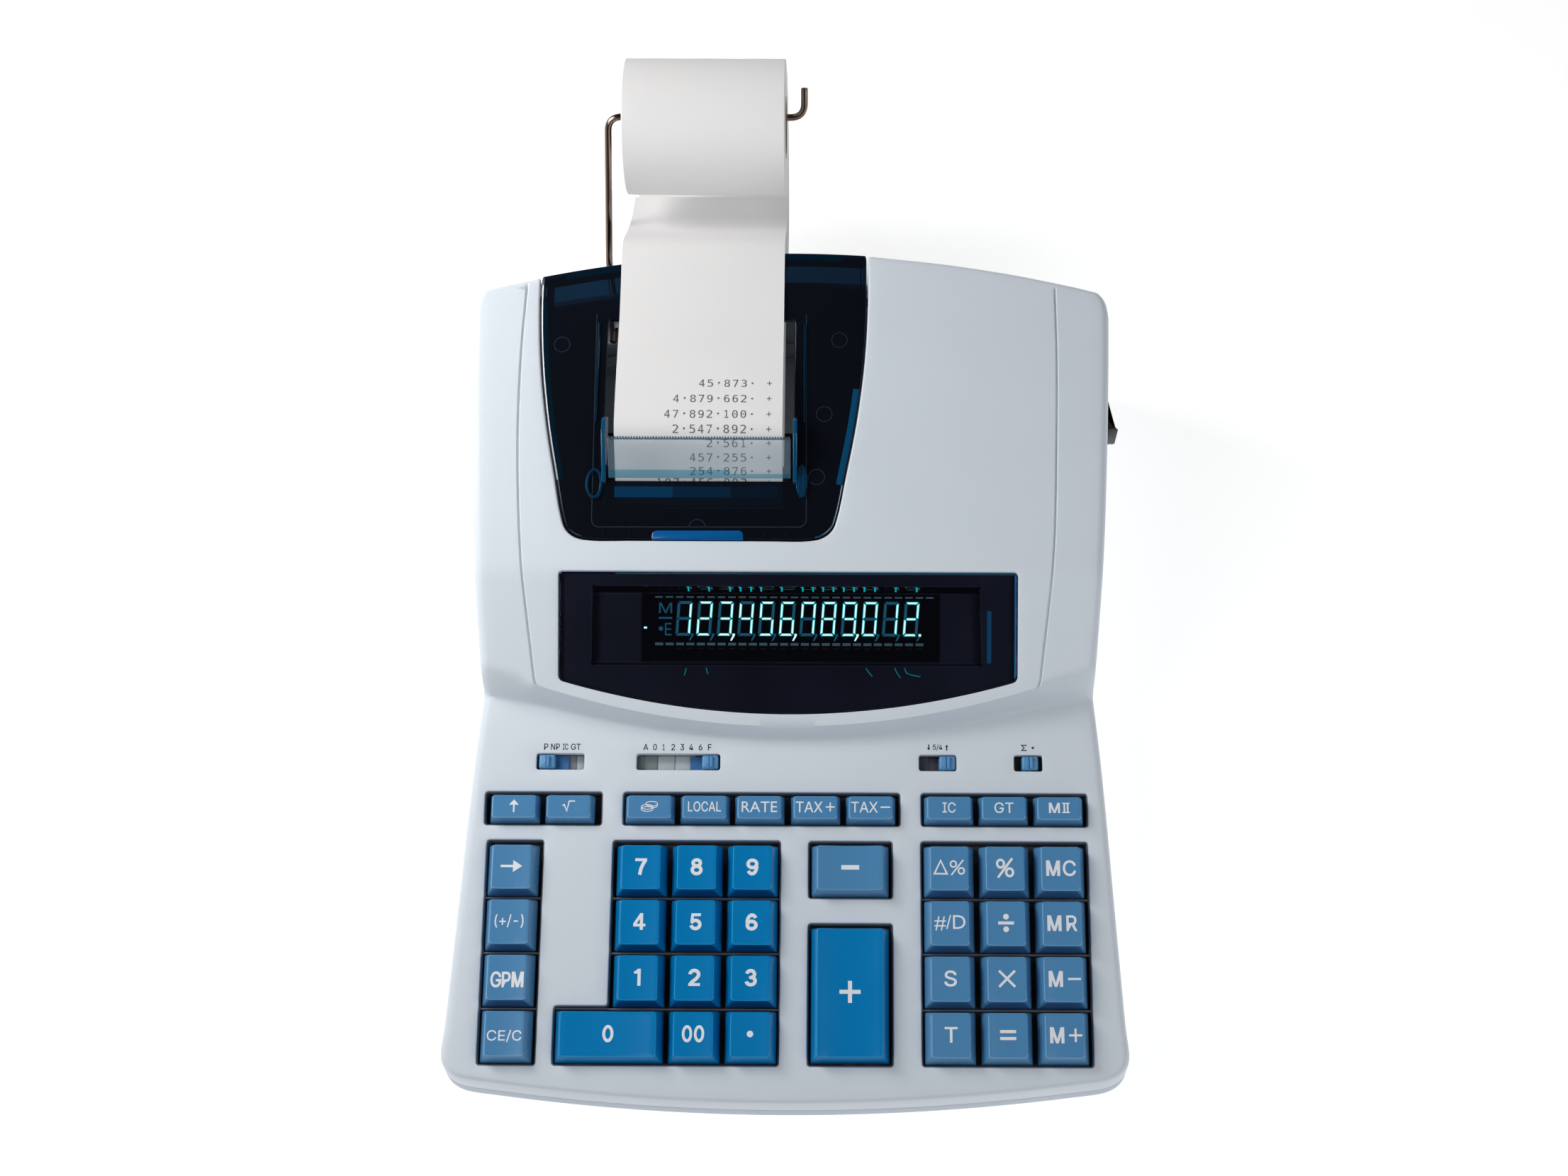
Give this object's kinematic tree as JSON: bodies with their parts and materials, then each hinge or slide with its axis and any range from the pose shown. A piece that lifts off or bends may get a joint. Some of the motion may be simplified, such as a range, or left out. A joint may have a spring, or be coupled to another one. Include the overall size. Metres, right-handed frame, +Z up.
{
  "type": "printing calculator",
  "caption": "Desktop printing calculator with a keyboard deck, slide switches, display, hinged printer cover, tear bar, and a paper roll on a wire arm.",
  "frame": {"origin": "middle of the bounding box at the plane the feet stand on", "axes": "+X to the user's right, +Y towards the back, +Z up"},
  "size_m": [0.2284, 0.3588, 0.107],
  "materials": {
    "case_plastic": "fine textured moulding",
    "base_plastic": "fine textured moulding",
    "smoked_cover": "polished, translucent dark blue",
    "smoked_lens": "polished, smoked",
    "clear_plastic": "clear, pale blue",
    "key_grey_blue": "satin moulded",
    "key_blue": "satin moulded",
    "knob_blue": "satin moulded",
    "rocker_black": "semi-gloss",
    "display_glass": "polished black",
    "board": "solder mask",
    "plated_steel": "zinc plated",
    "core_steel": "varnished laminations",
    "wire_chrome": "polished",
    "platen_rubber": "ground",
    "ink_foam": "inked foam",
    "carriage_plastic": "moulded",
    "paper": "uncoated"
  },
  "bodies": {
    "root": {"bottom_case": "base_plastic", "top_case": "case_plastic", "display_lens": "smoked_lens", "display_module": "display_glass", "main_board": "board", "transformer": "core_steel", "printer_frame": "plated_steel", "paper_arm": "wire_chrome", "paper_tape": "paper"},
    "cover": {"printer_cover": "smoked_cover", "tear_bar": "clear_plastic"},
    "key_up": {"key_up": "key_grey_blue"},
    "key_root": {"key_root": "key_grey_blue"},
    "key_currency": {"key_currency": "key_grey_blue"},
    "key_local": {"key_local": "key_grey_blue"},
    "key_rate": {"key_rate": "key_grey_blue"},
    "key_tax_plus": {"key_tax_plus": "key_grey_blue"},
    "key_tax_minus": {"key_tax_minus": "key_grey_blue"},
    "key_ic": {"key_ic": "key_grey_blue"},
    "key_gt": {"key_gt": "key_grey_blue"},
    "key_m2": {"key_m2": "key_grey_blue"},
    "key_clear": {"key_clear": "key_grey_blue"},
    "key_gpm": {"key_gpm": "key_grey_blue"},
    "key_sign": {"key_sign": "key_grey_blue"},
    "key_shift": {"key_shift": "key_grey_blue"},
    "key_minus": {"key_minus": "key_grey_blue"},
    "key_t": {"key_t": "key_grey_blue"},
    "key_equals": {"key_equals": "key_grey_blue"},
    "key_m_plus": {"key_m_plus": "key_grey_blue"},
    "key_s": {"key_s": "key_grey_blue"},
    "key_multiply": {"key_multiply": "key_grey_blue"},
    "key_m_minus": {"key_m_minus": "key_grey_blue"},
    "key_number_date": {"key_number_date": "key_grey_blue"},
    "key_divide": {"key_divide": "key_grey_blue"},
    "key_mr": {"key_mr": "key_grey_blue"},
    "key_delta": {"key_delta": "key_grey_blue"},
    "key_percent": {"key_percent": "key_grey_blue"},
    "key_mc": {"key_mc": "key_grey_blue"},
    "key_1": {"key_1": "key_blue"},
    "key_2": {"key_2": "key_blue"},
    "key_3": {"key_3": "key_blue"},
    "key_4": {"key_4": "key_blue"},
    "key_5": {"key_5": "key_blue"},
    "key_6": {"key_6": "key_blue"},
    "key_7": {"key_7": "key_blue"},
    "key_8": {"key_8": "key_blue"},
    "key_9": {"key_9": "key_blue"},
    "key_0": {"key_0": "key_blue"},
    "key_00": {"key_00": "key_blue"},
    "key_point": {"key_point": "key_blue"},
    "key_plus": {"key_plus": "key_blue"},
    "knob_print_mode": {"knob_print_mode": "knob_blue"},
    "knob_decimals": {"knob_decimals": "knob_blue"},
    "knob_rounding": {"knob_rounding": "knob_blue"},
    "knob_sigma": {"knob_sigma": "knob_blue"},
    "power_rocker": {"power_rocker": "rocker_black"},
    "platen_roller": {"platen_roller": "platen_rubber"},
    "paper_roll": {"paper_roll": "paper"},
    "print_carriage": {"print_carriage": "carriage_plastic"},
    "ink_roller": {"ink_roller": "ink_foam"}
  },
  "joints": [
    {"name": "cover_hinge", "type": "hinge", "parent": "root", "child": "cover", "pos_m": [-0.03146, 0.08936, 0.0715], "axis": [-1, 0, 0], "range_deg": [0, 50], "deforming": ["paper_tape"]},
    {"name": "roll_spin", "type": "hinge", "parent": "root", "child": "paper_roll", "pos_m": [-0.03196, 0.15487, 0.083], "axis": [1, 0, 0], "continuous": true},
    {"name": "platen_spin", "type": "hinge", "parent": "root", "child": "platen_roller", "pos_m": [-0.03176, 0.02536, 0.055], "axis": [1, 0, 0], "continuous": true},
    {"name": "carriage_slide", "type": "slide", "parent": "root", "child": "print_carriage", "axis": [1, 0, 0], "range_m": [0, 0.044]},
    {"name": "ink_spin", "type": "hinge", "parent": "print_carriage", "child": "ink_roller", "pos_m": [-0.05216, 0.00656, 0.0536], "axis": [1, 0, 0], "continuous": true},
    {"name": "power_rocker_tilt", "type": "hinge", "parent": "root", "child": "power_rocker", "pos_m": [0.10784, 0.05987, 0.044], "axis": [0, 0, 1], "range_deg": [-22, 0]},
    {"name": "knob_print_mode_slide", "type": "slide", "parent": "root", "child": "knob_print_mode", "axis": [1, 0, 0], "range_m": [0, 0.0093]},
    {"name": "knob_decimals_slide", "type": "slide", "parent": "root", "child": "knob_decimals", "axis": [1, 0, 0], "range_m": [-0.0215, 0]},
    {"name": "knob_rounding_slide", "type": "slide", "parent": "root", "child": "knob_rounding", "axis": [1, 0, 0], "range_m": [-0.0064, 0]},
    {"name": "knob_sigma_slide", "type": "slide", "parent": "root", "child": "knob_sigma", "axis": [1, 0, 0], "range_m": [-0.0023, 0.0011]},
    {"name": "key_5_press", "type": "slide", "parent": "root", "child": "key_5", "axis": [0, 0.1306, -0.9914], "range_m": [0, 0.003], "stiffness_N_per_m": 150, "springref_m": -0.002},
    {"name": "key_plus_press", "type": "slide", "parent": "root", "child": "key_plus", "axis": [0, 0.1306, -0.9914], "range_m": [0, 0.003], "stiffness_N_per_m": 150, "springref_m": -0.002},
    {"name": "key_minus_press", "type": "slide", "parent": "root", "child": "key_minus", "axis": [0, 0.1306, -0.9914], "range_m": [0, 0.003], "stiffness_N_per_m": 150, "springref_m": -0.002},
    {"name": "key_0_press", "type": "slide", "parent": "root", "child": "key_0", "axis": [0, 0.1306, -0.9914], "range_m": [0, 0.003], "stiffness_N_per_m": 150, "springref_m": -0.002},
    {"name": "key_root_press", "type": "slide", "parent": "root", "child": "key_root", "axis": [0, 0.1306, -0.9914], "range_m": [0, 0.0025], "stiffness_N_per_m": 150, "springref_m": -0.002},
    {"name": "key_equals_press", "type": "slide", "parent": "root", "child": "key_equals", "axis": [0, 0.1306, -0.9914], "range_m": [0, 0.003], "stiffness_N_per_m": 150, "springref_m": -0.002},
    {"name": "key_up_press", "type": "slide", "parent": "root", "child": "key_up", "axis": [0, 0.1306, -0.9914], "range_m": [0, 0.0025], "stiffness_N_per_m": 150, "springref_m": -0.002},
    {"name": "key_currency_press", "type": "slide", "parent": "root", "child": "key_currency", "axis": [0, 0.1306, -0.9914], "range_m": [0, 0.0025], "stiffness_N_per_m": 150, "springref_m": -0.002},
    {"name": "key_local_press", "type": "slide", "parent": "root", "child": "key_local", "axis": [0, 0.1306, -0.9914], "range_m": [0, 0.0025], "stiffness_N_per_m": 150, "springref_m": -0.002},
    {"name": "key_rate_press", "type": "slide", "parent": "root", "child": "key_rate", "axis": [0, 0.1306, -0.9914], "range_m": [0, 0.0025], "stiffness_N_per_m": 150, "springref_m": -0.002},
    {"name": "key_tax_plus_press", "type": "slide", "parent": "root", "child": "key_tax_plus", "axis": [0, 0.1306, -0.9914], "range_m": [0, 0.0025], "stiffness_N_per_m": 150, "springref_m": -0.002},
    {"name": "key_tax_minus_press", "type": "slide", "parent": "root", "child": "key_tax_minus", "axis": [0, 0.1306, -0.9914], "range_m": [0, 0.0025], "stiffness_N_per_m": 150, "springref_m": -0.002},
    {"name": "key_ic_press", "type": "slide", "parent": "root", "child": "key_ic", "axis": [0, 0.1306, -0.9914], "range_m": [0, 0.0025], "stiffness_N_per_m": 150, "springref_m": -0.002},
    {"name": "key_gt_press", "type": "slide", "parent": "root", "child": "key_gt", "axis": [0, 0.1306, -0.9914], "range_m": [0, 0.0025], "stiffness_N_per_m": 150, "springref_m": -0.002},
    {"name": "key_m2_press", "type": "slide", "parent": "root", "child": "key_m2", "axis": [0, 0.1306, -0.9914], "range_m": [0, 0.0025], "stiffness_N_per_m": 150, "springref_m": -0.002},
    {"name": "key_clear_press", "type": "slide", "parent": "root", "child": "key_clear", "axis": [0, 0.1306, -0.9914], "range_m": [0, 0.003], "stiffness_N_per_m": 150, "springref_m": -0.002},
    {"name": "key_gpm_press", "type": "slide", "parent": "root", "child": "key_gpm", "axis": [0, 0.1306, -0.9914], "range_m": [0, 0.003], "stiffness_N_per_m": 150, "springref_m": -0.002},
    {"name": "key_sign_press", "type": "slide", "parent": "root", "child": "key_sign", "axis": [0, 0.1306, -0.9914], "range_m": [0, 0.003], "stiffness_N_per_m": 150, "springref_m": -0.002},
    {"name": "key_shift_press", "type": "slide", "parent": "root", "child": "key_shift", "axis": [0, 0.1306, -0.9914], "range_m": [0, 0.003], "stiffness_N_per_m": 150, "springref_m": -0.002},
    {"name": "key_t_press", "type": "slide", "parent": "root", "child": "key_t", "axis": [0, 0.1306, -0.9914], "range_m": [0, 0.003], "stiffness_N_per_m": 150, "springref_m": -0.002},
    {"name": "key_m_plus_press", "type": "slide", "parent": "root", "child": "key_m_plus", "axis": [0, 0.1306, -0.9914], "range_m": [0, 0.003], "stiffness_N_per_m": 150, "springref_m": -0.002},
    {"name": "key_s_press", "type": "slide", "parent": "root", "child": "key_s", "axis": [0, 0.1306, -0.9914], "range_m": [0, 0.003], "stiffness_N_per_m": 150, "springref_m": -0.002},
    {"name": "key_multiply_press", "type": "slide", "parent": "root", "child": "key_multiply", "axis": [0, 0.1306, -0.9914], "range_m": [0, 0.003], "stiffness_N_per_m": 150, "springref_m": -0.002},
    {"name": "key_m_minus_press", "type": "slide", "parent": "root", "child": "key_m_minus", "axis": [0, 0.1306, -0.9914], "range_m": [0, 0.003], "stiffness_N_per_m": 150, "springref_m": -0.002},
    {"name": "key_number_date_press", "type": "slide", "parent": "root", "child": "key_number_date", "axis": [0, 0.1306, -0.9914], "range_m": [0, 0.003], "stiffness_N_per_m": 150, "springref_m": -0.002},
    {"name": "key_divide_press", "type": "slide", "parent": "root", "child": "key_divide", "axis": [0, 0.1306, -0.9914], "range_m": [0, 0.003], "stiffness_N_per_m": 150, "springref_m": -0.002},
    {"name": "key_mr_press", "type": "slide", "parent": "root", "child": "key_mr", "axis": [0, 0.1306, -0.9914], "range_m": [0, 0.003], "stiffness_N_per_m": 150, "springref_m": -0.002},
    {"name": "key_delta_press", "type": "slide", "parent": "root", "child": "key_delta", "axis": [0, 0.1306, -0.9914], "range_m": [0, 0.003], "stiffness_N_per_m": 150, "springref_m": -0.002},
    {"name": "key_percent_press", "type": "slide", "parent": "root", "child": "key_percent", "axis": [0, 0.1306, -0.9914], "range_m": [0, 0.003], "stiffness_N_per_m": 150, "springref_m": -0.002},
    {"name": "key_mc_press", "type": "slide", "parent": "root", "child": "key_mc", "axis": [0, 0.1306, -0.9914], "range_m": [0, 0.003], "stiffness_N_per_m": 150, "springref_m": -0.002},
    {"name": "key_1_press", "type": "slide", "parent": "root", "child": "key_1", "axis": [0, 0.1306, -0.9914], "range_m": [0, 0.003], "stiffness_N_per_m": 150, "springref_m": -0.002},
    {"name": "key_2_press", "type": "slide", "parent": "root", "child": "key_2", "axis": [0, 0.1306, -0.9914], "range_m": [0, 0.003], "stiffness_N_per_m": 150, "springref_m": -0.002},
    {"name": "key_3_press", "type": "slide", "parent": "root", "child": "key_3", "axis": [0, 0.1306, -0.9914], "range_m": [0, 0.003], "stiffness_N_per_m": 150, "springref_m": -0.002},
    {"name": "key_4_press", "type": "slide", "parent": "root", "child": "key_4", "axis": [0, 0.1306, -0.9914], "range_m": [0, 0.003], "stiffness_N_per_m": 150, "springref_m": -0.002},
    {"name": "key_6_press", "type": "slide", "parent": "root", "child": "key_6", "axis": [0, 0.1306, -0.9914], "range_m": [0, 0.003], "stiffness_N_per_m": 150, "springref_m": -0.002},
    {"name": "key_7_press", "type": "slide", "parent": "root", "child": "key_7", "axis": [0, 0.1306, -0.9914], "range_m": [0, 0.003], "stiffness_N_per_m": 150, "springref_m": -0.002},
    {"name": "key_8_press", "type": "slide", "parent": "root", "child": "key_8", "axis": [0, 0.1306, -0.9914], "range_m": [0, 0.003], "stiffness_N_per_m": 150, "springref_m": -0.002},
    {"name": "key_9_press", "type": "slide", "parent": "root", "child": "key_9", "axis": [0, 0.1306, -0.9914], "range_m": [0, 0.003], "stiffness_N_per_m": 150, "springref_m": -0.002},
    {"name": "key_00_press", "type": "slide", "parent": "root", "child": "key_00", "axis": [0, 0.1306, -0.9914], "range_m": [0, 0.003], "stiffness_N_per_m": 150, "springref_m": -0.002},
    {"name": "key_point_press", "type": "slide", "parent": "root", "child": "key_point", "axis": [0, 0.1306, -0.9914], "range_m": [0, 0.003], "stiffness_N_per_m": 150, "springref_m": -0.002}
  ],
  "couplings": [
    {"joint": "platen_spin", "follows": "roll_spin", "ratio": 3.2}
  ]
}
